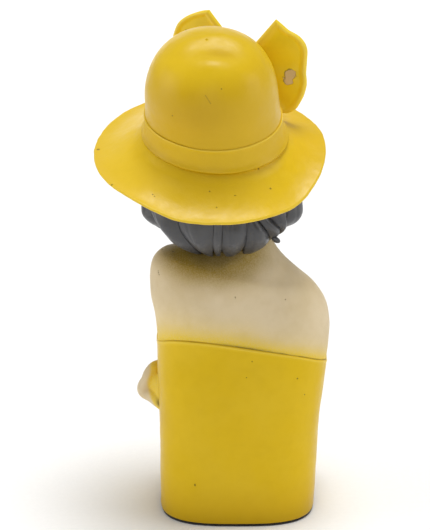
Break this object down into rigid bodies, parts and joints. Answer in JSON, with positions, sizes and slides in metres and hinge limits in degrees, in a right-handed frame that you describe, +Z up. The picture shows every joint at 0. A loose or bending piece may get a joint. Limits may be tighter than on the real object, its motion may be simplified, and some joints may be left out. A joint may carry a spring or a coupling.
{
  "type": "papier-mache catrina figure",
  "caption": "Standing papier-mache catrina bust in a strapless dress and wide-brimmed hat with a bow, glued up from moulded, painted pieces; a shelf ornament.",
  "frame": {"origin": "centre of the felt underside that the figure stands on", "axes": "+Z up through the figure, the face looks along -Y, the figure's own left side is +X"},
  "size_m": [0.14, 0.1301, 0.3031],
  "materials": {
    "hat_paint": "satin",
    "bow_paint": "satin",
    "dress_paint": "satin",
    "skin_paint": "matte",
    "face_paint": "matte",
    "tooth_paint": "satin",
    "hair_paint": "satin",
    "base_felt": "matte",
    "card": "matte",
    "plaster": "matte",
    "wood": "matte"
  },
  "bodies": {
    "root": {"base_felt": "base_felt", "base_board": "card", "ballast_puck": "plaster", "spine_dowel": "wood", "collar_plate": "card", "neck_tube": "skin_paint", "torso_back_shell": "skin_paint", "torso_front_shell": "skin_paint", "dress_back": "dress_paint", "dress_front": "dress_paint", "seam_strip_left": "card", "seam_strip_right": "card", "left_arm": "skin_paint", "left_arm_peg": "wood", "left_hand": "skin_paint", "right_arm": "skin_paint", "right_arm_peg": "wood", "right_hand": "skin_paint", "skull_face": "face_paint", "skull_back": "face_paint", "jaw": "face_paint", "upper_teeth": "tooth_paint", "lower_teeth": "tooth_paint", "fringe_left": "hair_paint", "fringe_right": "hair_paint", "hair_cap": "hair_paint", "hair_lock_01": "hair_paint", "hair_lock_02": "hair_paint", "hair_lock_03": "hair_paint", "hair_lock_04": "hair_paint", "hair_lock_05": "hair_paint", "hair_lock_06": "hair_paint", "hair_lock_07": "hair_paint", "hair_lock_08": "hair_paint", "hair_lock_09": "hair_paint", "hair_lock_10": "hair_paint", "hair_lock_11": "hair_paint", "hair_lock_12": "hair_paint", "hat_crown": "hat_paint", "hat_brim": "hat_paint", "hat_band": "hat_paint", "hat_plug": "card", "bow_wing_left": "bow_paint", "bow_wing_right": "bow_paint", "bow_knot": "bow_paint", "bow_tail_left": "bow_paint", "bow_tail_right": "bow_paint", "bow_peg": "wood"}
  },
  "joints": []
}
